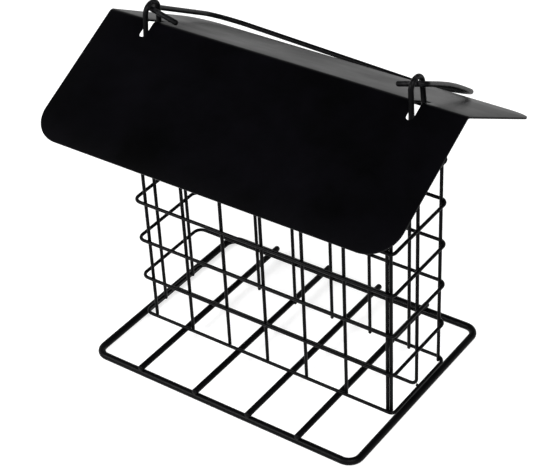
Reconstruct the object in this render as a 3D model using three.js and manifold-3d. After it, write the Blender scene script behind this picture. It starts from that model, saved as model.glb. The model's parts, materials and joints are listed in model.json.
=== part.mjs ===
// Suet feeder: a welded wire cage on a perch frame, under a folded sheet roof, hung from a wire bail.
// Millimetres, +Z up, +X along the ridge, -Y is the front. The origin is on the ground under the middle
// of the whole, the folded bail included.
import * as THREE from 'three';
import Module from 'manifold-3d';
import { mergeVertices } from 'three/addons/utils/BufferGeometryUtils.js';

const wasm = await Module();
wasm.setup();

// Driving sizes

const gap = {
  weld: 0.02, // two wires that are spot welded across each other
  seat: 0.3, // a loose piece and what it rests on
};

const perch = {
  sideMargin: 2, // the rail's centre line stands this far outside the cage's, at each end
  depth: 100.6, // between the rail's centre lines
  offset: -2.5, // the cage is welded on a little to the right of the frame's middle
  cornerRadius: 7,
  railRadius: 1.6,
  railSides: 16,
  crossRadius: 1.35,
  crossSides: 12,
  bays: 5,
  crossShifts: [-0.9, 1.5, 2.1, 0.3], // each wire was welded on this far off an even spacing
};

const cage = {
  length: 129, // between the ring's centre lines
  depth: 41.6,
  cornerRadius: 3.5,
  pitch: 20,
  rings: 7,
  wireRadius: 0.75,
  wireSides: 8,
  backStart: 13.3, // from the right corner to the first of the back posts
  backPitch: 19.65,
  leftEndStart: 12, // the left end's two posts are off its middle, this one to the back
  postOverhang: 4.7, // posts stand this far above the top ring and carry the roof
  seamAngle: THREE.MathUtils.degToRad(47.4), // where a lapped post sits in the corner's bend
  floorBendRadius: 3,
};

const roof = {
  endOverhang: 19.3, // past the cage's centre lines
  slopeLength: 63.8, // from the ridge to an eave
  pitchAngle: THREE.MathUtils.degToRad(28),
  thickness: 0.8,
  bendRadius: 2, // inside the fold
  cornerRadius: 13,
  slotEndClearance: 1.5,
  slotSideClearance: 0.55,
  lift: 1, // how far it rises before it meets the folded bail
};

const eye = {
  wireRadius: 1.1,
  wireSides: 12,
  legSpacing: 9.2,
  rise: 10.3, // the right crown's centre line above the ridge
  leftDrop: 1.9, // the left eye stands this much lower, so the bail's hinge line slopes
  legOverhang: 2.5, // below the second ring from the top
};

const bail = {
  wireRadius: 1.1,
  wireSides: 12,
  leftTail: 14, // from an eye inwards
  rightTail: 9.6,
  tailDroop: THREE.MathUtils.degToRad(15), // the tails fall towards the ridge
  footBendRadius: 2.6,
  footClearance: 1.2, // between an arm and its eye
  eaveOverhang: 6, // the arms reach this far past the eave they fold over
  lean: 12.5, // the handle is racked this far to the left at its top
  twist: 1.1, // its left top corner stands this far above its plane, the right one below
  topBendRadius: 14,
  crestOffset: 26, // the crest is right of the middle
  crestReach: 3, // and this far beyond the top corners
  crestDroop: 5.5, // and hangs this far below them, over the eave
  crestBendRadius: 60,
};

const arcSteps = { corner: 6, foot: 8, top: 12, crest: 6, crown: 12, bend: 10, slot: 12, dome: 3 };

const coat = new THREE.MeshStandardMaterial({ color: 0x0c0c0e, roughness: 0.42, metalness: 0.1 });
const sheetCoat = new THREE.MeshStandardMaterial({ color: 0x08080a, roughness: 0.34, metalness: 0.1 });

// Helpers for wire: a wire's section is a polygon with flats towards its neighbours

const flat = (radius, sides) => radius * Math.cos(Math.PI / sides);

const railFlat = flat(perch.railRadius, perch.railSides);
const crossFlat = flat(perch.crossRadius, perch.crossSides);
const cageFlat = flat(cage.wireRadius, cage.wireSides);
const eyeFlat = flat(eye.wireRadius, eye.wireSides);

// An arc in a plane as a list of Vector2, ends included
function arc(centreX, centreY, radius, from, to, steps) {
  const points = [];
  for (let i = 0; i <= steps; i += 1) {
    const angle = from + ((to - from) * i) / steps;
    points.push(new THREE.Vector2(centreX + radius * Math.cos(angle), centreY + radius * Math.sin(angle)));
  }
  return points;
}

// A closed rectangle with rounded corners, centred on the origin
function roundedRectangle(width, height, radius, steps) {
  const x = width / 2 - radius;
  const y = height / 2 - radius;
  const quarter = Math.PI / 2;
  return [
    ...arc(x, y, radius, 0, quarter, steps),
    ...arc(-x, y, radius, quarter, 2 * quarter, steps),
    ...arc(-x, -y, radius, 2 * quarter, 3 * quarter, steps),
    ...arc(x, -y, radius, 3 * quarter, 4 * quarter, steps),
  ];
}

// Sweeps a polygon section along points, mitred at each point. Points of a flat wire may be Vector2.
// An open wire gets slightly domed ends, as a sheared and coated wire has.
function wireGeometry(path, radius, sides, closed) {
  const points = path.map((point) => new THREE.Vector3(point.x, point.y, point.z || 0));
  const count = points.length;
  const sections = [];
  for (let i = 0; i < count; i += 1) {
    const before = closed ? points[(i + count - 1) % count] : points[Math.max(i - 1, 0)];
    const after = closed ? points[(i + 1) % count] : points[Math.min(i + 1, count - 1)];
    const into = points[i].clone().sub(before).normalize();
    const out = after.clone().sub(points[i]).normalize();
    const along = into.clone().add(out).normalize();
    const stretch = into.lengthSq() && out.lengthSq() ? 1 / Math.sqrt((1 + into.dot(out)) / 2) : 1;
    sections.push({ at: points[i], along, stretch, radius });
  }
  if (!closed) {
    domeEnd(sections, -1, radius);
    domeEnd(sections, 1, radius);
  }
  return skinSections(sections, sides, closed);
}

// Rounds the edge of a cut end by adding shrinking sections inside the wire's length
function domeEnd(sections, direction, radius) {
  const end = direction > 0 ? sections[sections.length - 1] : sections[0];
  const edge = radius / 2;
  const added = [];
  for (let i = 0; i <= arcSteps.dome; i += 1) {
    const angle = (Math.PI / 2) * (i / arcSteps.dome);
    const back = edge * (1 - Math.sin(angle));
    added.push({
      at: end.at.clone().addScaledVector(end.along, -direction * back),
      along: end.along,
      stretch: 1,
      radius: radius - edge + edge * Math.cos(angle),
    });
  }
  if (direction > 0) {
    sections.splice(sections.length - 1, 1, ...added);
  } else {
    sections.splice(0, 1, ...added.reverse());
  }
}

// Joins polygon sections into one closed skin. Each section's up follows the one before it,
// so the skin doesn't twist where a wire leaves its plane.
function skinSections(sections, sides, closed) {
  const positions = [];
  const index = [];
  let up = new THREE.Vector3(0, 0, 1);
  for (const section of sections) {
    const side = up.clone().cross(section.along).normalize();
    up = section.along.clone().cross(side);
    for (let k = 0; k < sides; k += 1) {
      const angle = (2 * Math.PI * (k + 0.5)) / sides;
      const across = section.radius * section.stretch * Math.cos(angle);
      const rise = section.radius * Math.sin(angle);
      const corner = section.at.clone().addScaledVector(side, across).addScaledVector(up, rise);
      positions.push(corner.x, corner.y, corner.z);
    }
  }
  const rows = sections.length;
  const lastRow = closed ? rows : rows - 1;
  for (let i = 0; i < lastRow; i += 1) {
    const here = i * sides;
    const next = ((i + 1) % rows) * sides;
    for (let k = 0; k < sides; k += 1) {
      const other = (k + 1) % sides;
      index.push(here + k, here + other, next + k);
      index.push(here + other, next + other, next + k);
    }
  }
  if (!closed) {
    for (let k = 1; k < sides - 1; k += 1) {
      index.push(0, k + 1, k);
      const last = (rows - 1) * sides;
      index.push(last, last + k, last + k + 1);
    }
  }
  const geometry = new THREE.BufferGeometry();
  geometry.setAttribute('position', new THREE.Float32BufferAttribute(positions, 3));
  geometry.setIndex(index);
  geometry.computeVertexNormals();
  return geometry;
}

// A wire bent round pins: corner points, each with the radius and the number of steps of its bend
function bentWire(corners) {
  const points = [corners[0].at];
  for (let i = 1; i < corners.length - 1; i += 1) {
    const { at, radius, steps } = corners[i];
    const back = corners[i - 1].at.clone().sub(at).normalize();
    const ahead = corners[i + 1].at.clone().sub(at).normalize();
    const halfAngle = back.angleTo(ahead) / 2;
    const middle = back.clone().add(ahead).normalize();
    const centre = at.clone().addScaledVector(middle, radius / Math.sin(halfAngle));
    const start = at.clone().addScaledVector(back, radius / Math.tan(halfAngle)).sub(centre);
    const axis = ahead.clone().cross(back).normalize();
    const turn = Math.PI - 2 * halfAngle;
    for (let k = 0; k <= steps; k += 1) {
      points.push(start.clone().applyAxisAngle(axis, (turn * k) / steps).add(centre));
    }
  }
  points.push(corners[corners.length - 1].at);
  return points;
}

function straightWire(length, radius, sides) {
  const ends = [new THREE.Vector2(-length / 2, 0), new THREE.Vector2(length / 2, 0)];
  return wireGeometry(ends, radius, sides, false);
}

function addMesh(parent, name, geometry, material) {
  const mesh = new THREE.Mesh(geometry, material);
  mesh.name = name;
  parent.add(mesh);
  return mesh;
}

// Places that follow from the sizes, from the ground up

const perchLength = cage.length + 2 * perch.sideMargin;
const roofLength = cage.length + 2 * roof.endOverhang;

const halfTurn = Math.PI;
const quarterTurn = Math.PI / 2;

// Turns a drawing in X and Y into one in Y and Z, seen along the ridge
const seenAlongRidge = new THREE.Matrix4().makeBasis(
  new THREE.Vector3(0, 1, 0),
  new THREE.Vector3(0, 0, 1),
  new THREE.Vector3(1, 0, 0),
);

const railHeight = railFlat;
const crossHeight = railHeight + railFlat + gap.weld + crossFlat;
const firstRingHeight = crossHeight + crossFlat + gap.weld + cageFlat;
const ringHeight = (level) => firstRingHeight + level * cage.pitch;
const topRingHeight = ringHeight(cage.rings - 1);
const postBottom = firstRingHeight - cageFlat;
const postTop = topRingHeight + cage.postOverhang;

const insideWire = cageFlat + gap.weld + cageFlat; // from a ring's centre line to a post's
const postY = cage.depth / 2 - insideWire;
const cornerX = cage.length / 2 - cage.cornerRadius;
const cornerY = cage.depth / 2 - cage.cornerRadius;
const cornerPostRadius = cage.cornerRadius - insideWire;
const sideWireX = cage.length / 2 - insideWire;

const sheetRise = roof.thickness / 2 / Math.cos(roof.pitchAngle);
const postOuterY = postY + cage.wireRadius;
const ridgeHeight = postTop + gap.seat + postOuterY * Math.tan(roof.pitchAngle) + sheetRise;
const outerBendRadius = roof.bendRadius + roof.thickness;
const ridgeTop = ridgeHeight + sheetRise - outerBendRadius * (1 / Math.cos(roof.pitchAngle) - 1);

const eyeX = cage.length / 2 - cageFlat - gap.weld - eyeFlat;
const crownRadius = eye.legSpacing / 2;
const crownHeight = (side) => ridgeTop + eye.rise - crownRadius - (side < 0 ? eye.leftDrop : 0);
const eyeLegBottom = ringHeight(cage.rings - 2) - eye.legOverhang;

const bailTop = (crownHeight(-1) + crownHeight(1)) / 2 + crownRadius - eye.wireRadius - gap.seat;
const bailHeight = bailTop - bail.wireRadius;
const hingeSlope = Math.atan2(eye.leftDrop, 2 * eyeX);
const armX = eyeX + eye.wireRadius + bail.wireRadius + bail.footClearance;

// The bail lies over the back eave, clear of it by the roof's lift
const eaveY = roof.slopeLength * Math.cos(roof.pitchAngle);
const eaveZ = ridgeHeight - roof.slopeLength * Math.sin(roof.pitchAngle);
const eaveCornerY = eaveY + (roof.thickness / 2) * Math.sin(roof.pitchAngle);
const eaveCornerZ = eaveZ + (roof.thickness / 2) * Math.cos(roof.pitchAngle);
const eaveReach = Math.hypot(eaveCornerY, bailHeight - eaveCornerZ);
const eaveAngle = Math.atan2(bailHeight - eaveCornerZ, eaveCornerY);
const restAngle = Math.asin((bail.wireRadius + gap.seat + roof.lift) / eaveReach) - eaveAngle;
const armReach = eaveReach + bail.wireRadius + bail.eaveOverhang;

// Perch frame: one bent rail, welded at its ends, with cross wires on top

function makePerchFrame() {
  const group = new THREE.Group();
  const outline = roundedRectangle(perchLength, perch.depth, perch.cornerRadius, arcSteps.corner);
  const rail = wireGeometry(outline, perch.railRadius, perch.railSides, true);
  addMesh(group, 'perch_rail', rail, coat).position.set(perch.offset, 0, railHeight);

  const wireLength = perch.depth + 2 * perch.railRadius;
  for (let i = 1; i < perch.bays; i += 1) {
    const wire = straightWire(wireLength, perch.crossRadius, perch.crossSides);
    const mesh = addMesh(group, `perch_cross_wire_${i}`, wire, coat);
    mesh.rotation.z = quarterTurn;
    const evenX = (i / perch.bays - 1 / 2) * perchLength;
    mesh.position.set(perch.offset + evenX + perch.crossShifts[i - 1], 0, crossHeight);
  }
  return group;
}

// Cage: closed rings outside, posts inside, and one long wire along the floor and up the right end

function makeRings() {
  const group = new THREE.Group();
  const outline = roundedRectangle(cage.length, cage.depth, cage.cornerRadius, arcSteps.corner);
  for (let level = 0; level < cage.rings; level += 1) {
    const ring = wireGeometry(outline, cage.wireRadius, cage.wireSides, true);
    addMesh(group, `cage_ring_${level + 1}`, ring, coat).position.z = ringHeight(level);
  }
  return group;
}

function addPost(group, name, x, y) {
  const post = straightWire(postTop - postBottom, cage.wireRadius, cage.wireSides);
  const mesh = addMesh(group, name, post, coat);
  mesh.rotation.y = quarterTurn;
  mesh.position.set(x, y, (postTop + postBottom) / 2);
}

function addCornerPost(group, name, sideX, sideY, angle) {
  const x = sideX * (cornerX + cornerPostRadius * Math.cos(angle));
  const y = sideY * (cornerY + cornerPostRadius * Math.sin(angle));
  addPost(group, name, x, y);
}

function makePosts() {
  const group = new THREE.Group();
  const frontCount = Math.floor((2 * cornerX) / cage.pitch) + 1;
  for (let i = 0; i < frontCount; i += 1) {
    addPost(group, `front_post_${i + 1}`, cornerX - i * cage.pitch, -postY);
  }
  const backStart = cornerX - cage.backStart;
  const backCount = Math.floor((backStart + cornerX) / cage.backPitch) + 1;
  for (let i = 0; i < backCount; i += 1) {
    addPost(group, `back_post_${i + 1}`, backStart - i * cage.backPitch, postY);
  }
  // The mesh is bent round from the front right corner, where its first and last posts stand side by side
  addCornerPost(group, 'front_right_seam_post', 1, -1, cage.seamAngle);
  addCornerPost(group, 'back_right_corner_post', 1, 1, quarterTurn / 2);
  addPost(group, 'back_left_corner_post', -sideWireX, cage.leftEndStart);
  addPost(group, 'back_left_seam_post', -sideWireX, cage.leftEndStart - cage.pitch);
  return group;
}

function makeFloorWire() {
  const bend = cage.floorBendRadius;
  const x = sideWireX - bend;
  const y = firstRingHeight + bend;
  const leftEnd = cage.length / 2 - cageFlat - gap.weld; // it butts against the first ring
  const points = [
    new THREE.Vector2(-leftEnd, firstRingHeight),
    ...arc(x, y, bend, -quarterTurn, 0, arcSteps.corner),
    new THREE.Vector2(sideWireX, postTop),
  ];
  const group = new THREE.Group();
  const wire = wireGeometry(points, cage.wireRadius, cage.wireSides, false);
  addMesh(group, 'floor_and_end_wire', wire, coat).rotation.x = quarterTurn;
  return group;
}

// Eyes: heavy inverted U wires inside the cage's ends, standing up through the roof's slots

function makeEyes() {
  const group = new THREE.Group();
  const halfSpacing = eye.legSpacing / 2;
  for (const [name, side] of [['left_eye', -1], ['right_eye', 1]]) {
    const points = [
      new THREE.Vector2(halfSpacing, eyeLegBottom),
      ...arc(0, crownHeight(side), crownRadius, 0, halfTurn, arcSteps.crown),
      new THREE.Vector2(-halfSpacing, eyeLegBottom),
    ];
    const wire = wireGeometry(points, eye.wireRadius, eye.wireSides, false);
    const mesh = addMesh(group, name, wire, coat);
    mesh.setRotationFromMatrix(seenAlongRidge);
    mesh.position.x = side * eyeX;
  }
  return group;
}

// Roof: one sheet folded along the ridge, with rounded corners and a slot over each eye

function toSolid(geometry) {
  const bare = geometry.clone();
  bare.deleteAttribute('normal');
  bare.deleteAttribute('uv');
  const merged = mergeVertices(bare);
  const vertProperties = new Float32Array(merged.attributes.position.array);
  const triVerts = new Uint32Array(merged.index.array);
  return new wasm.Manifold(new wasm.Mesh({ numProp: 3, vertProperties, triVerts }));
}

function toGeometry(solid) {
  const mesh = solid.getMesh();
  const geometry = new THREE.BufferGeometry();
  geometry.setAttribute('position', new THREE.BufferAttribute(new Float32Array(mesh.vertProperties), 3));
  geometry.setIndex(new THREE.BufferAttribute(new Uint32Array(mesh.triVerts), 1));
  geometry.computeVertexNormals();
  return geometry;
}

// The folded section in Y and Z, drawn from the back eave over the ridge to the front eave
function roofSection() {
  const angle = roof.pitchAngle;
  const halfY = (roof.thickness / 2) * Math.sin(angle);
  const halfZ = (roof.thickness / 2) * Math.cos(angle);
  const bendCentre = ridgeHeight - (roof.bendRadius + roof.thickness / 2) / Math.cos(angle);
  const from = quarterTurn - angle;
  const to = quarterTurn + angle;
  return new THREE.Shape([
    new THREE.Vector2(eaveY + halfY, eaveZ + halfZ),
    ...arc(0, bendCentre, outerBendRadius, from, to, arcSteps.bend),
    new THREE.Vector2(-eaveY - halfY, eaveZ + halfZ),
    new THREE.Vector2(-eaveY + halfY, eaveZ - halfZ),
    ...arc(0, bendCentre, roof.bendRadius, to, from, arcSteps.bend),
    new THREE.Vector2(eaveY - halfY, eaveZ - halfZ),
  ]);
}

// What the shears take off a lower corner, as a prism square to the slope
function cornerCutter(sideX, sideY) {
  const radius = roof.cornerRadius;
  const overrun = roof.thickness * 2;
  const centreX = roofLength / 2 - radius;
  const centreS = roof.slopeLength - radius;
  const outline = new THREE.Shape([
    ...arc(centreX, centreS, radius, 0, quarterTurn, arcSteps.bend),
    new THREE.Vector2(centreX, roof.slopeLength + overrun),
    new THREE.Vector2(roofLength / 2 + overrun, roof.slopeLength + overrun),
    new THREE.Vector2(roofLength / 2 + overrun, centreS),
  ]);
  const prism = new THREE.ExtrudeGeometry(outline, { depth: 2 * overrun, bevelEnabled: false });
  prism.translate(0, 0, -overrun);
  const alongSlope = new THREE.Vector3(0, sideY * Math.cos(roof.pitchAngle), -Math.sin(roof.pitchAngle));
  const alongRidge = new THREE.Vector3(sideX, 0, 0);
  const outward = new THREE.Vector3().crossVectors(alongRidge, alongSlope);
  prism.applyMatrix4(new THREE.Matrix4().makeBasis(alongRidge, alongSlope, outward));
  prism.translate(0, 0, ridgeHeight);
  return toSolid(prism);
}

// A slot across the ridge, a little wider and longer than the eye that stands in it
function slotCutter(x) {
  const halfWidth = eye.wireRadius + roof.slotSideClearance;
  const halfLength = eye.legSpacing / 2 + eye.wireRadius + roof.slotEndClearance;
  const straight = halfLength - halfWidth;
  const outline = new THREE.Shape([
    ...arc(x, straight, halfWidth, 0, halfTurn, arcSteps.slot),
    ...arc(x, -straight, halfWidth, halfTurn, 2 * halfTurn, arcSteps.slot),
  ]);
  const depth = 2 * halfLength;
  const prism = new THREE.ExtrudeGeometry(outline, { depth, bevelEnabled: false });
  prism.translate(0, 0, ridgeHeight - halfLength);
  return toSolid(prism);
}

function makeRoof() {
  const blank = new THREE.ExtrudeGeometry(roofSection(), { depth: roofLength, bevelEnabled: false });
  blank.translate(0, 0, -roofLength / 2);
  blank.applyMatrix4(seenAlongRidge);
  let sheet = toSolid(blank);
  for (const sideX of [-1, 1]) {
    for (const sideY of [-1, 1]) {
      sheet = sheet.subtract(cornerCutter(sideX, sideY));
    }
    sheet = sheet.subtract(slotCutter(sideX * eyeX));
  }
  const group = new THREE.Group();
  addMesh(group, 'roof_sheet', toGeometry(sheet), sheetCoat);
  return group;
}

// Bail: one wire bent into a handle. It is drawn with the hinge line on X and the arms towards +Y,
// its tails run inwards through the eyes, and its crest sags where it hangs past the eave.

function bailPath() {
  const down = new THREE.Vector3(0, 0, -1).applyAxisAngle(new THREE.Vector3(1, 0, 0), -restAngle);
  const tailPoint = (side, inwards) => {
    const along = -side * inwards * Math.cos(bail.tailDroop);
    const point = new THREE.Vector3(side * eyeX + along, 0, 0);
    return point.addScaledVector(down, inwards * Math.sin(bail.tailDroop));
  };
  const footInwards = -(armX - eyeX) / Math.cos(bail.tailDroop);
  const foot = (side) => ({ at: tailPoint(side, footInwards), radius: bail.footBendRadius, steps: arcSteps.foot });
  const top = (side) => ({
    at: new THREE.Vector3(side * armX - bail.lean, armReach, -side * bail.twist),
    radius: bail.topBendRadius,
    steps: arcSteps.top,
  });
  const crest = {
    at: new THREE.Vector3(bail.crestOffset, armReach + bail.crestReach, -bail.crestDroop),
    radius: bail.crestBendRadius,
    steps: arcSteps.crest,
  };
  return bentWire([
    { at: tailPoint(-1, bail.leftTail) },
    foot(-1),
    top(-1),
    crest,
    top(1),
    foot(1),
    { at: tailPoint(1, bail.rightTail) },
  ]);
}

function makeBail() {
  const group = new THREE.Group();
  const wire = wireGeometry(bailPath(), bail.wireRadius, bail.wireSides, false);
  addMesh(group, 'bail', wire, coat).rotation.x = restAngle;
  group.rotation.y = -hingeSlope;
  group.position.z = bailHeight;
  return group;
}

const feeder = new THREE.Group();
feeder.add(makePerchFrame());
feeder.add(makeRings());
feeder.add(makePosts());
feeder.add(makeFloorWire());
feeder.add(makeEyes());
feeder.add(makeRoof());
feeder.add(makeBail());

const bounds = new THREE.Box3().setFromObject(feeder, true);
const middleY = (bounds.min.y + bounds.max.y) / 2;
feeder.position.y = -middleY;

console.log(`ridge top ${ridgeTop.toFixed(3)} bail axis ${bailHeight.toFixed(3)} eyes at ${eyeX.toFixed(3)}`);
console.log(`post top ${postTop.toFixed(3)} first ring ${firstRingHeight.toFixed(3)} posts at y ${postY.toFixed(3)}`);
console.log(`bail rests at ${THREE.MathUtils.radToDeg(restAngle).toFixed(2)} degrees, reach ${armReach.toFixed(2)}`);
console.log(`hinge line slopes ${THREE.MathUtils.radToDeg(hingeSlope).toFixed(3)} degrees`);
console.log(`everything is moved ${(-middleY).toFixed(3)} along Y`);

export default feeder;
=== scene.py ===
# Suet feeder: the looks of the wire cage, perch frame, eyes, bail and folded roof.
# Everything is built in metres, Z up. The metal pieces' dictionaries are in millimetres and degrees,
# those of the finishes, the studio and the camera in metres, unless a note says otherwise.
import json
import math

import bpy
from mathutils import Matrix, Vector


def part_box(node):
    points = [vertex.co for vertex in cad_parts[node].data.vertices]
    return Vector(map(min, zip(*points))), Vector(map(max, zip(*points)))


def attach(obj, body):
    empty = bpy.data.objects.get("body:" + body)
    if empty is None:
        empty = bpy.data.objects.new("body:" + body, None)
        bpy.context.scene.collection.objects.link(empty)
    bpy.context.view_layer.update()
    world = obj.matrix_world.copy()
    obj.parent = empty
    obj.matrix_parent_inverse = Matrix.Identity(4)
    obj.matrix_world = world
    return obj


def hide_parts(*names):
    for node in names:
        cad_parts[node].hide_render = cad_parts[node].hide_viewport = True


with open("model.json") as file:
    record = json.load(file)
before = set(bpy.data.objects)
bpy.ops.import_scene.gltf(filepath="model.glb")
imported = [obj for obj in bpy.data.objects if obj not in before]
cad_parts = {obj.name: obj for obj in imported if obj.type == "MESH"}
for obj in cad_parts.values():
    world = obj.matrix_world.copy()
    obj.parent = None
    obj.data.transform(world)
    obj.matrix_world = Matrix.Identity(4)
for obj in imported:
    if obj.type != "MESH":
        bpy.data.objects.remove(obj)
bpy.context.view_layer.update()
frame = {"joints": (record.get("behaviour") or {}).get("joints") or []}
mm = 0.001
hair = 1e-6  # points nearer than this are one point

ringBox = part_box("cage_ring_1")
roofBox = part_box("roof_sheet")
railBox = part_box("perch_rail")
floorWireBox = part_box("floor_and_end_wire")
hinge = Vector(next(joint["pos_m"] for joint in frame["joints"] if joint["name"] == "bail_swing"))
print("frame loaded")


def middleOf(node):
    low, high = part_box(node)
    return (low + high) / 2


# A node's name as a piece's name: front_post_1 becomes frontPost1
def pieceName(node):
    first, *rest = node.split("_")
    return first + "".join(word.capitalize() for word in rest)


# Selecting, placing and copying

def deselectAll():
    if bpy.context.object and bpy.context.object.mode != "OBJECT":
        bpy.ops.object.mode_set(mode="OBJECT")
    bpy.ops.object.select_all(action="DESELECT")


def pickOnly(piece):
    deselectAll()
    piece.select_set(True)
    bpy.context.view_layer.objects.active = piece


def nameLast(name):
    piece = bpy.context.active_object
    piece.name = name
    piece.data.name = name
    return piece


# Puts a new piece's place, turn and size into its mesh
def settle():
    bpy.ops.object.transform_apply(location=True, rotation=True, scale=True)


def copyPiece(piece, name, matrix):
    twin = piece.copy()
    twin.data = piece.data.copy()
    twin.name = name
    twin.data.name = name
    twin.data.transform(matrix)
    bpy.context.collection.objects.link(twin)
    return twin


def fitPiece(piece, body, slotName, *cadNodes):
    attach(piece, body)
    if cadNodes:
        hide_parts(*cadNodes)


# Each of these wires stands for the solid at the same place in the list of nodes
def fitCageWires(pieces, nodes):
    for piece, node in zip(pieces, nodes):
        fitPiece(piece, "cage", "wire_coat", node)
    return pieces


# Bending wire

wireBending = {
    "leastSteps": 3,  # in one bend, however slight
    "smoothAngle": 40,
}


def swell(scale, centre):
    bpy.ops.transform.resize(value=(scale, scale, scale), center_override=centre)


def pullWire(step):
    bpy.ops.mesh.extrude_region_move(TRANSFORM_OT_translate={"value": step})


# A sheared and coated end: the edge is rounded over in a few steps
def roundTip(here, heading, radius, dome, steps, growing):
    flat = radius - dome
    width = flat if growing else radius
    start = here.copy()
    for k in range(1, steps + 1):
        angle = math.pi / 2 * k / steps
        forward = dome * (1 - math.cos(angle)) if growing else dome * math.sin(angle)
        wanted = flat + dome * (math.sin(angle) if growing else math.cos(angle))
        place = start + heading * forward
        pullWire(place - here)
        swell(wanted / width, place)
        width = wanted
        here = place
    return here


def finishWire(piece):
    bpy.ops.mesh.select_all(action="SELECT")
    bpy.ops.mesh.remove_doubles(threshold=hair)
    bpy.ops.mesh.fill_holes(sides=0)
    bpy.ops.mesh.select_all(action="SELECT")
    bpy.ops.mesh.normals_make_consistent(inside=False)
    bpy.ops.object.mode_set(mode="OBJECT")
    bpy.ops.object.shade_smooth_by_angle(angle=math.radians(wireBending["smoothAngle"]))


# Corners are (place, bend radius) from end to end. A closed wire starts and ends on its first corner's place.
def bendWire(name, corners, wire, closed=False):
    radius = wire["radius"] * mm
    rounding = 0 if closed else wire["endRounding"]
    dome = rounding * radius
    places = [Vector(place) for place, bend in corners]
    bends = [bend for place, bend in corners]
    heading = (places[1] - places[0]).normalized()
    deselectAll()
    bpy.ops.mesh.primitive_circle_add(
        vertices=wire["sides"], radius=radius * (1 - rounding), fill_type="NOTHING",
        location=places[0], rotation=heading.to_track_quat("Z", "Y").to_euler())
    piece = nameLast(name)
    settle()
    bpy.ops.object.mode_set(mode="EDIT")
    bpy.ops.mesh.select_all(action="SELECT")
    here = places[0].copy()
    if not closed:
        here = roundTip(here, heading, radius, dome, wire["tipSteps"], True)
    for i in range(1, len(places)):
        last = i == len(places) - 1
        if last:
            target = places[i] - heading * dome
        else:
            ahead = (places[i + 1] - places[i]).normalized()
            turn = heading.angle(ahead)
            target = places[i] - heading * bends[i] * math.tan(turn / 2)
        if (target - here).length > hair:
            pullWire(target - here)
        here = target
        if not last:
            inwards = (ahead - heading * heading.dot(ahead)).normalized()
            axis = heading.cross(ahead).normalized()
            steps = max(wireBending["leastSteps"], math.ceil(math.degrees(turn) / wire["bendStep"]))
            # spin is left-handed about its axis, so the angle is negative
            bpy.ops.mesh.spin(steps=steps, angle=-turn, center=here + inwards * bends[i], axis=axis)
            here = places[i] + ahead * bends[i] * math.tan(turn / 2)
            heading = ahead
    if not closed:
        roundTip(here, heading, radius, dome, wire["tipSteps"], False)
    finishWire(piece)
    return piece


# A closed wire that lies level in a box. Its corners' radii go from the back left one round by the front.
def bendRing(name, box, height, wire, cornerRadii):
    low, high = box
    inset = wire["radius"] * mm
    left, right, front, back = low.x + inset, high.x - inset, low.y + inset, high.y - inset
    start = ((left + right) / 2, back, height)
    places = [(left, back, height), (left, front, height), (right, front, height), (right, back, height)]
    bends = [(place, radius * mm) for place, radius in zip(places, cornerRadii)]
    return bendWire(name, [(start, 0), *bends, (start, 0)], wire, closed=True)


# Perch frame: one heavy rail round the outside and lighter wires laid across it

perchFrame = {
    "rail": {"radius": 1.6, "sides": 28, "bendStep": 9},
    "cross": {"radius": 1.35, "sides": 24, "bendStep": 9, "endRounding": 0.55, "tipSteps": 3},
    "cornerRadius": 5.5,
    "crossWires": 4,
}

crossNodes = [f"perch_cross_wire_{i}" for i in range(1, perchFrame["crossWires"] + 1)]


def buildPerchRail():
    rail = perchFrame["rail"]
    height = railBox[0].z + rail["radius"] * mm
    radii = [perchFrame["cornerRadius"]] * 4
    return bendRing("perchRail", railBox, height, rail, radii)


def buildCrossWires():
    wires = []
    for node in crossNodes:
        low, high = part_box(node)
        middle = middleOf(node)
        ends = [((middle.x, low.y, middle.z), 0), ((middle.x, high.y, middle.z), 0)]
        wires.append(bendWire(pieceName(node), ends, perchFrame["cross"]))
    return wires


def buildPerchFrame():
    rail = fitCageWires([buildPerchRail()], ["perch_rail"])
    return rail + fitCageWires(buildCrossWires(), crossNodes)


# Cage: rings outside, posts inside, and one wire along the floor and up the right end

cageMesh = {
    "wire": {"radius": 0.75, "sides": 16, "bendStep": 11.25, "endRounding": 0.6, "tipSteps": 2},
    "rings": 7,
    "frontPosts": 7,
    "backPosts": 6,
    "cornerRadius": 3.5,
    "lapCornerRadius": 2,  # the front right corner, where the mesh's ends lap, is bent tighter
    "floorBendRadius": 3,
    "backRise": 0.25,  # each ring's back stands this much higher over its front than that of the ring below
}

ringNodes = [f"cage_ring_{i}" for i in range(1, cageMesh["rings"] + 1)]
postNodes = [f"front_post_{i}" for i in range(1, cageMesh["frontPosts"] + 1)]
postNodes += [f"back_post_{i}" for i in range(1, cageMesh["backPosts"] + 1)]
postNodes += ["front_right_seam_post", "back_right_corner_post"]
postNodes += ["back_left_corner_post", "back_left_seam_post"]


# How much a ring stands over its front run at the depth y
def backRise(number, y):
    depth = ringBox[1].y - ringBox[0].y
    return cageMesh["backRise"] * mm * (number - 1) * (y - ringBox[0].y) / depth


# The height of a ring's centre line at the depth y
def ringHeight(number, y):
    return middleOf(ringNodes[number - 1]).z + backRise(number, y)


def buildRings():
    corner, lap = cageMesh["cornerRadius"], cageMesh["lapCornerRadius"]
    radii = [corner, corner, lap, corner]
    height = (ringBox[0].z + ringBox[1].z) / 2
    first = bendRing(pieceName(ringNodes[0]), ringBox, height, cageMesh["wire"], radii)
    rings = [first]
    for number, node in enumerate(ringNodes[1:], 2):
        low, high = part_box(node)
        rise = (low.z + high.z) / 2 - height
        tilt = Matrix.Translation((0, 0, rise + backRise(number, 0)))
        tilt[2][1] = backRise(number, 1) - backRise(number, 0)
        rings.append(copyPiece(first, pieceName(node), tilt))
    return rings


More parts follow.
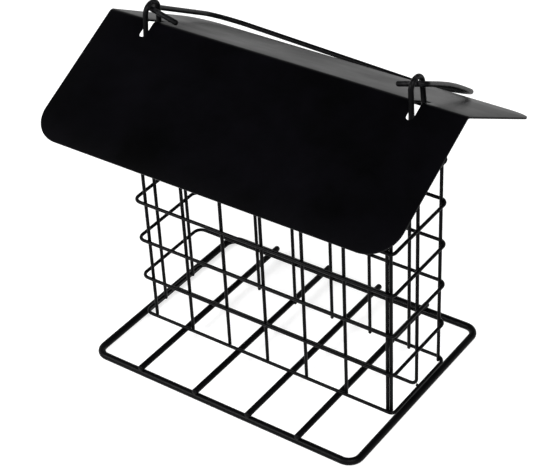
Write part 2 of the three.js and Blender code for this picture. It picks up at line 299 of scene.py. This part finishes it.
# The first post is bent and fitted, and the others are copies of it, moved to their own places
def buildPosts():
    low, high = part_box(postNodes[0])
    middle = middleOf(postNodes[0])
    ends = [((middle.x, middle.y, low.z), 0), ((middle.x, middle.y, high.z), 0)]
    posts = fitCageWires([bendWire(pieceName(postNodes[0]), ends, cageMesh["wire"])], postNodes[:1])
    for node in postNodes[1:]:
        post = copyPiece(posts[0], pieceName(node), Matrix.Translation(middleOf(node) - middle))
        posts += fitCageWires([post], [node])
    return posts


# The depth and height of the floor wire's centre line
def floorLine():
    low, high = floorWireBox
    return (low.y + high.y) / 2, low.z + cageMesh["wire"]["radius"] * mm


def buildFloorWire():
    low, high = floorWireBox
    right = high.x - cageMesh["wire"]["radius"] * mm
    y, bottom = floorLine()
    bend = cageMesh["floorBendRadius"] * mm
    corners = [((low.x, y, bottom), 0), ((right, y, bottom), bend), ((right, y, high.z), 0)]
    return bendWire("floorAndEndWire", corners, cageMesh["wire"])


def buildCage():
    rings = fitCageWires(buildRings(), ringNodes)
    return rings + buildPosts() + fitCageWires([buildFloorWire()], ["floor_and_end_wire"])


# Eyes: heavy hairpins that stand up through the roof

eyeWire = {
    "wire": {"radius": 1.1, "sides": 24, "bendStep": 9, "endRounding": 0.6, "tipSteps": 3},
    "legSpacing": 9.2,
    "crownHalfWidth": 3.9,
    "legBendDrop": 16,  # from the crown down to where the legs start to lean
    "legBendRadius": 30,
    "lean": {"left": (0.8, 0.2, 0.05), "right": (-0.8, -0.25, 0)},  # each crown from the solid's
    "weldedRings": (6, 7),  # the two upper rings carry the legs
}

sides = ("left", "right")


# The top of an eye's centre line, which leans a little from the upright
def crownPlace(side):
    low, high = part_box(f"{side}_eye")
    top = high.z - eyeWire["wire"]["radius"] * mm
    upright = Vector(((low.x + high.x) / 2, (low.y + high.y) / 2, top))
    return upright + Vector(eyeWire["lean"][side]) * mm


def buildEye(side):
    low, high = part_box(f"{side}_eye")
    x, y = (low.x + high.x) / 2, (low.y + high.y) / 2
    half = eyeWire["legSpacing"] / 2 * mm
    crown = crownPlace(side)
    bendHeight = crown.z - eyeWire["legBendDrop"] * mm
    legBend = eyeWire["legBendRadius"] * mm
    crownBend = eyeWire["crownHalfWidth"] * mm
    corners = [
        ((x, y - half, low.z), 0), ((x, y - half, bendHeight), legBend),
        ((crown.x, crown.y - crownBend, crown.z), crownBend),
        ((crown.x, crown.y + crownBend, crown.z), crownBend),
        ((x, y + half, bendHeight), legBend), ((x, y + half, low.z), 0)]
    return bendWire(f"{side}Eye", corners, eyeWire["wire"])


def buildEyes():
    return fitCageWires([buildEye(side) for side in sides], [f"{side}_eye" for side in sides])


# Bail: the hanging handle, folded back over the roof

bailWire = {
    "wire": {"radius": 1.1, "sides": 24, "bendStep": 9, "endRounding": 0.6, "tipSteps": 3},
    "leftTail": 14,  # from an eye inwards
    "rightTail": 9.6,
    "tailDroop": 15,
    "leftFoot": 64.7,  # how far out the feet and the corners stand
    "rightFoot": 65.7,
    "leftCorner": 79.1,
    "rightCorner": 51.9,
    "footBendRadius": 2.3,
    "reach": 73.7,  # from the hinge to the corners
    "leftTwist": 1.55,  # the left corner is this far above the handle's plane, the right one below it
    "rightTwist": 1.05,
    "leftBendRadius": 14,
    "rightBendRadius": 12,
    "armBow": 2,  # the right arm is bowed upwards at its middle
    "armBendRadius": 400,
    "crestOffset": 28.2,  # the crest is right of the middle, a little further out and lower than the corners
    "crestReach": 2.2,
    "crestDroop": 3.7,
    "crestBendRadius": 60,
    "restAngle": -30.8324,
    "hingeSlope": 0.8677,
}


def buildBail():
    droop = math.radians(bailWire["tailDroop"])
    low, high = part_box("right_eye")
    eyeX = (low.x + high.x) / 2
    sloped = Matrix.Translation(hinge) @ Matrix.Rotation(-math.radians(bailWire["hingeSlope"]), 4, "Y")
    laidDown = sloped @ Matrix.Rotation(math.radians(bailWire["restAngle"]), 4, "X")

    def tail(side, inwards):
        return sloped @ Vector((side * (eyeX - inwards * math.cos(droop)), 0, -inwards * math.sin(droop)))

    def foot(side, name):
        return tail(side, (eyeX - bailWire[name] * mm) / math.cos(droop))

    def laid(x, along, above):
        return laidDown @ Vector((x * mm, along * mm, above * mm))

    reach = bailWire["reach"]
    footBend = bailWire["footBendRadius"] * mm
    leftFoot, rightFoot = foot(-1, "leftFoot"), foot(1, "rightFoot")
    leftCorner = laid(-bailWire["leftCorner"], reach, bailWire["leftTwist"])
    rightCorner = laid(bailWire["rightCorner"], reach, -bailWire["rightTwist"])
    crest = laid(bailWire["crestOffset"], reach + bailWire["crestReach"], -bailWire["crestDroop"])
    bow = (rightFoot + rightCorner) / 2 + Vector((0, 0, bailWire["armBow"] * mm))
    corners = [
        (tail(-1, bailWire["leftTail"] * mm), 0), (leftFoot, footBend),
        (leftCorner, bailWire["leftBendRadius"] * mm), (crest, bailWire["crestBendRadius"] * mm),
        (rightCorner, bailWire["rightBendRadius"] * mm), (bow, bailWire["armBendRadius"] * mm),
        (rightFoot, footBend), (tail(1, bailWire["rightTail"] * mm), 0)]
    piece = bendWire("bail_handle", corners, bailWire["wire"])
    fitPiece(piece, "bail", "wire_coat", "bail")
    return piece


# Welds: a small waisted bead joins two wires wherever they cross

weldBead = {
    "sides": 12,
    # place along the bead and width there, as shares of its length and of its wire's radius
    "rows": [(-0.5, 0.86), (-0.27, 0.8), (0, 0.74), (0.27, 0.8), (0.5, 0.86)],
    "heavyShare": 1.1,  # of the mesh wire's radius, where mesh wire meets a heavier one
}


def makeBead():
    deselectAll()
    height, width = weldBead["rows"][0]
    bpy.ops.mesh.primitive_circle_add(
        vertices=weldBead["sides"], radius=width, fill_type="NOTHING", location=(0, 0, height))
    bead = nameLast("seedBead")
    settle()
    bpy.ops.object.mode_set(mode="EDIT")
    bpy.ops.mesh.select_all(action="SELECT")
    for nextHeight, nextWidth in weldBead["rows"][1:]:
        pullWire(Vector((0, 0, nextHeight - height)))
        swell(nextWidth / width, (0, 0, nextHeight))
        height, width = nextHeight, nextWidth
    finishWire(bead)
    return bead


# A spot is a point on each of two centre lines and the bead's radius
def weldPieces(name, seed, spots):
    beads = []
    for number, (here, there, radius) in enumerate(spots):
        line = there - here
        turn = line.to_track_quat("Z", "Y").to_matrix().to_4x4()
        size = Matrix.Diagonal((radius, radius, line.length, 1))
        place = Matrix.Translation((here + there) / 2) @ turn @ size
        beads.append(copyPiece(seed, f"{name}{number}", place))
    pickOnly(beads[0])
    for bead in beads:
        bead.select_set(True)
    bpy.ops.object.join()
    welds = nameLast(name)
    fitPiece(welds, "cage", "wire_coat")
    return welds


# The point of a ring's centre line that is straight out from (x, y)
def ringLine(x, y):
    low, high = ringBox
    inset = cageMesh["wire"]["radius"] * mm
    middle = (low + high) / 2
    atLap = x > middle.x and y < middle.y
    bend = cageMesh["lapCornerRadius" if atLap else "cornerRadius"] * mm
    halfX = (high.x - low.x) / 2 - inset - bend
    halfY = (high.y - low.y) / 2 - inset - bend
    inner = Vector((max(-halfX, min(halfX, x - middle.x)), max(-halfY, min(halfY, y - middle.y))))
    outwards = (Vector((x - middle.x, y - middle.y)) - inner).normalized()
    spot = inner + outwards * bend
    return Vector((spot.x + middle.x, spot.y + middle.y))


# Welds from an upright wire at (x, y) out to the numbered rings
def ringSpots(x, y, numbers, radius):
    outer = ringLine(x, y)
    spots = []
    for number in numbers:
        height = ringHeight(number, outer.y)
        spots.append((Vector((x, y, height)), Vector((*outer, height)), radius))
    return spots


def meshWeldSpots():
    radius = cageMesh["wire"]["radius"] * mm
    low, high = floorWireBox
    floorY, floorHeight = floorLine()
    uprights = [middleOf(node) for node in postNodes]
    uprights.append(Vector((high.x - radius, floorY, 0)))
    spots = []
    for upright in uprights:
        spots += ringSpots(upright.x, upright.y, range(1, cageMesh["rings"] + 1), radius)
    left = ringLine(low.x, floorY)
    spots.append((Vector((low.x + radius, floorY, floorHeight)), Vector((*left, floorHeight)), radius))
    return spots


def eyeWeldSpots():
    radius = cageMesh["wire"]["radius"] * mm * weldBead["heavyShare"]
    half = eyeWire["legSpacing"] / 2 * mm
    spots = []
    for side in sides:
        eye = middleOf(f"{side}_eye")
        for y in (eye.y - half, eye.y + half):
            spots += ringSpots(eye.x, y, eyeWire["weldedRings"], radius)
    return spots


def perchWeldSpots():
    railRadius = perchFrame["rail"]["radius"] * mm
    crossRadius = perchFrame["cross"]["radius"] * mm
    meshRadius = cageMesh["wire"]["radius"] * mm * weldBead["heavyShare"]
    floorY, floorHeight = floorLine()
    spots = []
    for node in crossNodes:
        cross = middleOf(node)
        for y in (railBox[0].y + railRadius, railBox[1].y - railRadius):
            spots.append((Vector((cross.x, y, railRadius)), Vector((cross.x, y, cross.z)), crossRadius))
        for y in (ringLine(cross.x, ringBox[0].y).y, ringLine(cross.x, ringBox[1].y).y, floorY):
            spots.append((Vector((cross.x, y, cross.z)), Vector((cross.x, y, floorHeight)), meshRadius))
    return spots


def buildWelds():
    seed = makeBead()
    welds = [
        weldPieces("meshWelds", seed, meshWeldSpots()),
        weldPieces("eyeWelds", seed, eyeWeldSpots()),
        weldPieces("perchWelds", seed, perchWeldSpots())]
    bpy.data.objects.remove(seed, do_unlink=True)
    return welds


# Roof: a flat blank is cut, slotted and rounded, then folded over the ridge

roofSheet = {
    "slope": 63.8,
    "pitch": 28,
    "thickness": 0.8,
    "bendRadius": 2,
    "creases": 6,  # on each side of the ridge
    "cornerRadius": 13,
    "cornerSteps": 14,
    "edgeRounding": 0.16,
    "edgeSteps": 3,
    "edgeAngle": 50,  # an edge sharper than this is rounded
    "slotHalfWidth": 1.65,
    "slotHalfLength": 7.2,
    "slotEndShare": 0.999,  # of the half width, so that an end's rounded corners don't meet
    "slotEndSteps": 10,
    "punchHeight": 10,
    "gridSize": 12,  # the flat slopes are divided this finely
    "gridRows": 4,
    "gridColumns": 6,  # on each side of the middle
    "smoothAngle": 30,
}


def selectEdges(piece, wanted):
    bpy.ops.mesh.select_all(action="DESELECT")
    bpy.ops.object.mode_set(mode="OBJECT")
    for edge in piece.data.edges:
        a, b = (piece.data.vertices[k].co for k in edge.vertices)
        edge.select = wanted(a, b)
    bpy.ops.object.mode_set(mode="EDIT")


def selectPoints(piece, wanted):
    bpy.ops.mesh.select_all(action="DESELECT")
    bpy.ops.object.mode_set(mode="OBJECT")
    for point in piece.data.vertices:
        point.select = wanted(point.co)
    bpy.ops.object.mode_set(mode="EDIT")


# A block with its four upright edges rounded
def roundedBlock(name, place, size, rounding, steps):
    deselectAll()
    bpy.ops.mesh.primitive_cube_add(size=1, location=place, scale=size)
    block = nameLast(name)
    settle()
    bpy.ops.object.mode_set(mode="EDIT")
    bpy.ops.mesh.select_mode(type="EDGE")
    selectEdges(block, lambda a, b: abs(a.z - b.z) > size[2] / 2)
    bpy.ops.mesh.bevel(offset=rounding, segments=steps, affect="EDGES")
    bpy.ops.object.mode_set(mode="OBJECT")
    return block


def punchSlot(blank, place, halfWidth, halfLength):
    size = (2 * halfWidth, 2 * halfLength, roofSheet["punchHeight"] * mm)
    rounding = halfWidth * roofSheet["slotEndShare"]
    punch = roundedBlock("slotPunch", place, size, rounding, roofSheet["slotEndSteps"])
    pickOnly(blank)
    cut = blank.modifiers.new("slot", "BOOLEAN")
    cut.operation = "DIFFERENCE"
    cut.solver = "EXACT"
    cut.object = punch
    bpy.ops.object.modifier_apply(modifier="slot")
    bpy.data.objects.remove(punch, do_unlink=True)


def roundEdges():
    bpy.ops.mesh.select_mode(type="EDGE")
    bpy.ops.mesh.select_all(action="SELECT")
    bpy.ops.mesh.remove_doubles(threshold=hair)
    bpy.ops.mesh.select_all(action="DESELECT")
    bpy.ops.mesh.edges_select_sharp(sharpness=math.radians(roofSheet["edgeAngle"]))
    bpy.ops.mesh.bevel(offset=roofSheet["edgeRounding"] * mm, segments=roofSheet["edgeSteps"], affect="EDGES")
    bpy.ops.mesh.select_mode(type="VERT")


def cutAcross(place, normal):
    bpy.ops.mesh.select_all(action="SELECT")
    bpy.ops.mesh.bisect(plane_co=place, plane_no=normal)


# Divides the blank along its creases and into a grid, so that it folds and shades cleanly
def divideBlank(y, z, half, creaseLines):
    grid = roofSheet["gridSize"]
    rows = [k * grid * mm for k in range(1, roofSheet["gridRows"] + 1)]
    cornerStart = half - roofSheet["cornerRadius"] * mm
    cutAcross((0, y, z), (0, 1, 0))
    for line in creaseLines + rows + [cornerStart]:
        for side in (-1, 1):
            cutAcross((0, y + side * line, z), (0, 1, 0))
    for k in range(-roofSheet["gridColumns"], roofSheet["gridColumns"] + 1):
        cutAcross((k * grid * mm, y, z), (1, 0, 0))


# Folds from the outermost crease in to the ridge, half of each turn before its crease and half after.
# With no window, rotate is left-handed too, so a positive turn folds the back slope down.
def foldBlank(blank, y, z, creaseLines, step):
    for line in reversed(creaseLines):
        for side in (-1, 1):
            for reach in (line - hair, line + hair):
                selectPoints(blank, lambda co: (co.y - y) * side > reach)
                bpy.ops.transform.rotate(
                    value=side * step / 2, orient_axis="X", center_override=(0, y + side * line, z))


def buildRoof():
    pitch = math.radians(roofSheet["pitch"])
    thick = roofSheet["thickness"] * mm
    neutral = roofSheet["bendRadius"] * mm + thick / 2
    low, high = roofBox
    y = (low.y + high.y) / 2
    z = high.z - thick / 2
    creases = roofSheet["creases"]
    step = pitch / creases
    strip = 2 * neutral * math.tan(step / 2)
    half = roofSheet["slope"] * mm - neutral * math.tan(pitch) + creases * strip
    flatSlot = (roofSheet["slotHalfLength"] * mm - neutral * math.sin(pitch)) / math.cos(pitch)
    creaseLines = [(k + 0.5) * strip for k in range(creases)]

    size = (high.x - low.x, 2 * half, thick)
    cornerRadius = roofSheet["cornerRadius"] * mm
    blank = roundedBlock("roofSheet", (0, y, z), size, cornerRadius, roofSheet["cornerSteps"])
    for side in sides:
        slotPlace = (middleOf(f"{side}_eye").x, y, z)
        punchSlot(blank, slotPlace, roofSheet["slotHalfWidth"] * mm, flatSlot + creases * strip)

    pickOnly(blank)
    bpy.ops.object.mode_set(mode="EDIT")
    roundEdges()
    divideBlank(y, z, half, creaseLines)
    foldBlank(blank, y, z, creaseLines, step)
    bpy.ops.mesh.select_all(action="SELECT")
    bpy.ops.mesh.normals_make_consistent(inside=False)
    bpy.ops.object.mode_set(mode="OBJECT")
    bpy.ops.object.shade_smooth_by_angle(angle=math.radians(roofSheet["smoothAngle"]))
    fitPiece(blank, "roof", "roof_coat", "roof_sheet")
    return blank


perchPieces = buildPerchFrame()
print("perch frame bent")
cagePieces = buildCage()
print("cage bent")
eyePieces = buildEyes()
bailPiece = buildBail()
print("eyes and bail bent")
weldBeads = buildWelds()
print("welds set")
roofPiece = buildRoof()
print("roof folded")


# Material nodes

def feed(tree, socket, value):
    if isinstance(value, bpy.types.NodeSocket):
        tree.links.new(value, socket)
    else:
        socket.default_value = value


def addNode(tree, kind, inputs=None, **settings):
    node = tree.nodes.new(kind)
    for key, value in settings.items():
        setattr(node, key, value)
    for key, value in (inputs or {}).items():
        feed(tree, node.inputs[key], value)
    return node


def makeGroup(name, inputs, outputs):
    group = bpy.data.node_groups.new(name, "ShaderNodeTree")
    for label, kind in inputs:
        group.interface.new_socket(name=label, in_out="INPUT", socket_type=f"NodeSocket{kind}")
    for label, kind in outputs:
        group.interface.new_socket(name=label, in_out="OUTPUT", socket_type=f"NodeSocket{kind}")
    return group, group.nodes.new("NodeGroupInput").outputs, group.nodes.new("NodeGroupOutput").inputs


def joined(tree, operation, *values):
    node = tree.nodes.new("ShaderNodeMath")
    node.operation = operation
    for socket, value in zip(node.inputs, values):
        feed(tree, socket, value)
    return node.outputs[0]


def ranged(tree, value, fromRange, toRange):
    node = addNode(tree, "ShaderNodeMapRange", {
        "Value": value, "From Min": fromRange[0], "From Max": fromRange[1],
        "To Min": toRange[0], "To Max": toRange[1]})
    return node.outputs["Result"]


def mixed(tree, mask, under, over):
    node = addNode(tree, "ShaderNodeMixRGB", {"Fac": mask, "Color1": under, "Color2": over})
    return node.outputs["Color"]


# Finishes: black powder coat, finely pebbled on the wire and smoother on the sheet

coatTexture = {
    "pebbles": {"Detail": 2.0, "Roughness": 0.45},
    "clouds": {"Detail": 4.0, "Roughness": 0.6},
    "tintRange": (0.35, 0.68),  # of the clouds' noise
    "glossRange": (0.3, 0.7),
    "breaks": {"Detail": 3.0, "Roughness": 0.65},
    "wornRange": (0.42, 0.62),
}


# The coat's flow: a pebbled height, cloudy colour and cloudy gloss
def makeCoatGroup():
    tree, given, result = makeGroup(
        "powderCoat",
        [("Place", "Vector"), ("Color", "Color"), ("Cloud Color", "Color"), ("Pebbles Per Metre", "Float"),
         ("Clouds Per Metre", "Float"), ("Smooth Roughness", "Float"), ("Dull Roughness", "Float")],
        [("Color", "Color"), ("Roughness", "Float"), ("Height", "Float")])
    pebbles = addNode(tree, "ShaderNodeTexNoise", {
        "Vector": given["Place"], "Scale": given["Pebbles Per Metre"], **coatTexture["pebbles"]})
    clouds = addNode(tree, "ShaderNodeTexNoise", {
        "Vector": given["Place"], "Scale": given["Clouds Per Metre"], **coatTexture["clouds"]})
    cloudMask = ranged(tree, clouds.outputs["Fac"], coatTexture["tintRange"], (0, 1))
    tint = mixed(tree, cloudMask, given["Color"], given["Cloud Color"])
    roughness = (given["Smooth Roughness"], given["Dull Roughness"])
    gloss = ranged(tree, clouds.outputs["Fac"], coatTexture["glossRange"], roughness)
    tree.links.new(tint, result["Color"])
    tree.links.new(gloss, result["Roughness"])
    tree.links.new(pebbles.outputs["Fac"], result["Height"])
    return tree


# Sparse pale specks of dust in the coat
def makeSpeckGroup():
    tree, given, result = makeGroup(
        "dustSpecks",
        [("Place", "Vector"), ("Cells Per Metre", "Float"), ("Size", "Float"), ("Share", "Float")],
        [("Mask", "Float")])
    cells = addNode(tree, "ShaderNodeTexVoronoi", {
        "Vector": given["Place"], "Scale": given["Cells Per Metre"]})
    chosen = addNode(tree, "ShaderNodeSeparateColor", {"Color": cells.outputs["Color"]})
    near = joined(tree, "LESS_THAN", cells.outputs["Distance"], given["Size"])
    picked = joined(tree, "LESS_THAN", chosen.outputs["Red"], given["Share"])
    tree.links.new(joined(tree, "MULTIPLY", near, picked), result["Mask"])
    return tree


# Where the coat is thin or rubbed, broken up so that it isn't an even line
def makeWearGroup():
    tree, given, result = makeGroup(
        "coatWear",
        [("Place", "Vector"), ("Rubbed", "Float"), ("Breaks Per Metre", "Float"), ("Amount", "Float")],
        [("Mask", "Float")])
    breaks = addNode(tree, "ShaderNodeTexNoise", {
        "Vector": given["Place"], "Scale": given["Breaks Per Metre"], **coatTexture["breaks"]})
    worn = ranged(tree, breaks.outputs["Fac"], coatTexture["wornRange"], (0, 1))
    mask = joined(tree, "MULTIPLY", joined(tree, "MULTIPLY", worn, given["Rubbed"]), given["Amount"])
    tree.links.new(mask, result["Mask"])
    return tree


coatGroup = makeCoatGroup()
speckGroup = makeSpeckGroup()
wearGroup = makeWearGroup()

# Pebbles, clouds, specks and breaks are counts per metre, and a speck's size is a share of its cell
wireFinish = {
    "color": (0.0009, 0.0009, 0.0011, 1),
    "cloudColor": (0.0019, 0.0019, 0.0022, 1),
    "speckColor": (0.04, 0.04, 0.042, 1),
    "specular": 0.045,
    "smooth": 0.32,
    "dull": 0.42,
    "clouds": 120.0,
    "pebbles": 2600.0,
    "pebbleHeight": 0.00006,
    "pebbleStrength": 0.5,
    "specks": 160.0,
    "speckSize": 0.05,
    "speckShare": 0.06,
    "wornColor": (0.04, 0.04, 0.043, 1),
    "breaks": 900.0,
    "wear": 0.6,
    "rubDrop": 0.001,  # from an eye's crown down to the middle of the rubbed place
    "rubReach": 0.004,
}
roofFinish = {
    "color": (0.0004, 0.0004, 0.0005, 1),
    "cloudColor": (0.001, 0.0009, 0.0015, 1),
    "speckColor": (0.025, 0.025, 0.027, 1),
    "specular": 0.03,
    "smooth": 0.34,
    "dull": 0.44,
    "clouds": 28.0,
    "pebbles": 1500.0,
    "pebbleHeight": 0.00003,
    "pebbleStrength": 0.3,
    "specks": 70.0,
    "speckSize": 0.022,
    "speckShare": 0.1,
}


def makeCoat(name, finish):
    coat = bpy.data.materials.new(name)
    coat.use_nodes = True
    tree = coat.node_tree
    shader = tree.nodes["Principled BSDF"]
    place = tree.nodes.new("ShaderNodeTexCoord").outputs["Object"]
    flow = addNode(tree, "ShaderNodeGroup", {
        "Place": place, "Color": finish["color"], "Cloud Color": finish["cloudColor"],
        "Pebbles Per Metre": finish["pebbles"], "Clouds Per Metre": finish["clouds"],
        "Smooth Roughness": finish["smooth"], "Dull Roughness": finish["dull"]}, node_tree=coatGroup)
    specks = addNode(tree, "ShaderNodeGroup", {
        "Place": place, "Cells Per Metre": finish["specks"], "Size": finish["speckSize"],
        "Share": finish["speckShare"]}, node_tree=speckGroup)
    color = mixed(tree, specks.outputs["Mask"], flow.outputs["Color"], finish["speckColor"])
    if "wear" in finish:
        rubbed = addNode(tree, "ShaderNodeAttribute", attribute_name="rubbed").outputs["Fac"]
        wear = addNode(tree, "ShaderNodeGroup", {
            "Place": place, "Rubbed": rubbed, "Breaks Per Metre": finish["breaks"],
            "Amount": finish["wear"]}, node_tree=wearGroup)
        color = mixed(tree, wear.outputs["Mask"], color, finish["wornColor"])
    bump = addNode(tree, "ShaderNodeBump", {
        "Height": flow.outputs["Height"], "Distance": finish["pebbleHeight"],
        "Strength": finish["pebbleStrength"]})
    tree.links.new(color, shader.inputs["Base Color"])
    tree.links.new(flow.outputs["Roughness"], shader.inputs["Roughness"])
    tree.links.new(bump.outputs["Normal"], shader.inputs["Normal"])
    shader.inputs["Specular IOR Level"].default_value = finish["specular"]
    return coat


def coatPiece(piece, coat):
    piece.data.materials.clear()
    piece.data.materials.append(coat)


# Marks how much each point of a piece is rubbed: 1 at a spot, 0 from the reach outwards
def markRubbed(piece, spots, reach):
    marks = piece.data.attributes.new("rubbed", "FLOAT", "POINT")
    for point, mark in zip(piece.data.vertices, marks.data):
        mark.value = max(0.0, *(1 - (point.co - spot).length / reach for spot in spots))


wireCoat = makeCoat("wirePowderCoat", wireFinish)
roofCoat = makeCoat("roofPowderCoat", roofFinish)
rubDrop = Vector((0, 0, wireFinish["rubDrop"]))
rubSpots = [crownPlace(side) - rubDrop for side in sides]
for wirePiece in perchPieces + cagePieces + eyePieces + [bailPiece] + weldBeads:
    coatPiece(wirePiece, wireCoat)
    markRubbed(wirePiece, rubSpots, wireFinish["rubReach"])
coatPiece(roofPiece, roofCoat)
print("coats mixed")


# Floor, light and camera

studio = {
    "skyLight": 0.42,
    "ceiling": 0.1,  # the part of the sky's white that is left overhead in reflections
    "ceilingRange": (0.2, 0.65),  # the sky darkens between these heights, 1 is straight up
    "floorSize": 6,
    "floorDrop": 0.0002,
    "floorColor": 0.5,
    "floorGlow": 0.68,  # what the camera and reflections see on top of the lit floor
    "aimHeight": 0.07,  # what the softboxes are turned to
    "key": {"direction": (-0.4915, -0.7305, 0.4744), "distance": 0.9, "size": 0.42, "power": 9},
    "fill": {"direction": (0.5, -0.45, 0.74), "distance": 1.0, "size": 0.6, "power": 10},
}


def seenMask(tree):
    rays = tree.nodes.new("ShaderNodeLightPath").outputs
    seen = joined(tree, "MAXIMUM", rays["Is Camera Ray"], rays["Is Glossy Ray"])
    return joined(tree, "MAXIMUM", seen, rays["Is Transmission Ray"])


def addSoftbox(name, lamp):
    data = bpy.data.lights.new(name, "AREA")
    data.shape = "SQUARE"
    data.size = lamp["size"]
    data.energy = lamp["power"]
    direction = Vector(lamp["direction"]).normalized()
    target = Vector((0, middleOf("cage_ring_1").y, studio["aimHeight"]))
    turn = direction.to_track_quat("Z", "Y").to_matrix().to_4x4()
    softbox = bpy.data.objects.new(name, data)
    softbox.matrix_world = Matrix.Translation(target + direction * lamp["distance"]) @ turn
    softbox.visible_camera = False
    bpy.context.collection.objects.link(softbox)


def buildFloor():
    deselectAll()
    bpy.ops.mesh.primitive_plane_add(size=studio["floorSize"], location=(0, 0, -studio["floorDrop"]))
    floor = nameLast("studioFloor")
    paper = bpy.data.materials.new("palePaper")
    paper.use_nodes = True
    tree = paper.node_tree
    shader = tree.nodes["Principled BSDF"]
    tone = studio["floorColor"]
    shader.inputs["Base Color"].default_value = (tone, tone, tone, 1)
    shader.inputs["Roughness"].default_value = 1
    shader.inputs["Specular IOR Level"].default_value = 0
    shader.inputs["Emission Color"].default_value = (1, 1, 1, 1)
    glow = joined(tree, "MULTIPLY", seenMask(tree), studio["floorGlow"])
    tree.links.new(glow, shader.inputs["Emission Strength"])
    floor.data.materials.append(paper)


# The camera sees an even white sky, reflections see it darker overhead, and it lights the rest dimly
def buildSky():
    world = bpy.data.worlds.new("studio")
    bpy.context.scene.world = world
    world.use_nodes = True
    tree = world.node_tree
    background = tree.nodes["Background"]
    background.inputs["Color"].default_value = (1, 1, 1, 1)
    outwards = tree.nodes.new("ShaderNodeTexCoord").outputs["Generated"]
    upwards = addNode(tree, "ShaderNodeSeparateXYZ", {"Vector": outwards}).outputs["Z"]
    ceiling = ranged(tree, upwards, studio["ceilingRange"], (1, studio["ceiling"]))
    isCamera = tree.nodes.new("ShaderNodeLightPath").outputs["Is Camera Ray"]
    white = joined(tree, "MAXIMUM", ceiling, isCamera)
    strength = ranged(tree, seenMask(tree), (0, 1), (studio["skyLight"], white))
    tree.links.new(strength, background.inputs["Strength"])


cameraFit = {
    "place": (0.324742, -0.448677, 0.450828),
    "right": (0.816752, 0.575121, -0.046397),
    "up": (-0.302666, 0.495509, 0.814165),
    "lens": 109.6,  # millimetres, as the film's width is
    "filmWidth": 36,
    "farthest": 20,
}


def buildCamera():
    right = Vector(cameraFit["right"]).normalized()
    up = Vector(cameraFit["up"]).normalized()
    back = right.cross(up).normalized()
    up = back.cross(right)
    data = bpy.data.cameras.new("photoCamera")
    data.lens = cameraFit["lens"]
    data.sensor_width = cameraFit["filmWidth"]
    data.sensor_fit = "HORIZONTAL"
    data.clip_end = cameraFit["farthest"]
    camera = bpy.data.objects.new("photoCamera", data)
    bpy.context.collection.objects.link(camera)
    turn = Matrix((right, up, back)).transposed().to_4x4()
    camera.matrix_world = Matrix.Translation(Vector(cameraFit["place"])) @ turn
    bpy.context.scene.camera = camera


buildFloor()
buildSky()
addSoftbox("keySoftbox", studio["key"])
addSoftbox("fillSoftbox", studio["fill"])
buildCamera()
bpy.context.scene.view_settings.view_transform = "Standard"
print("stage set")
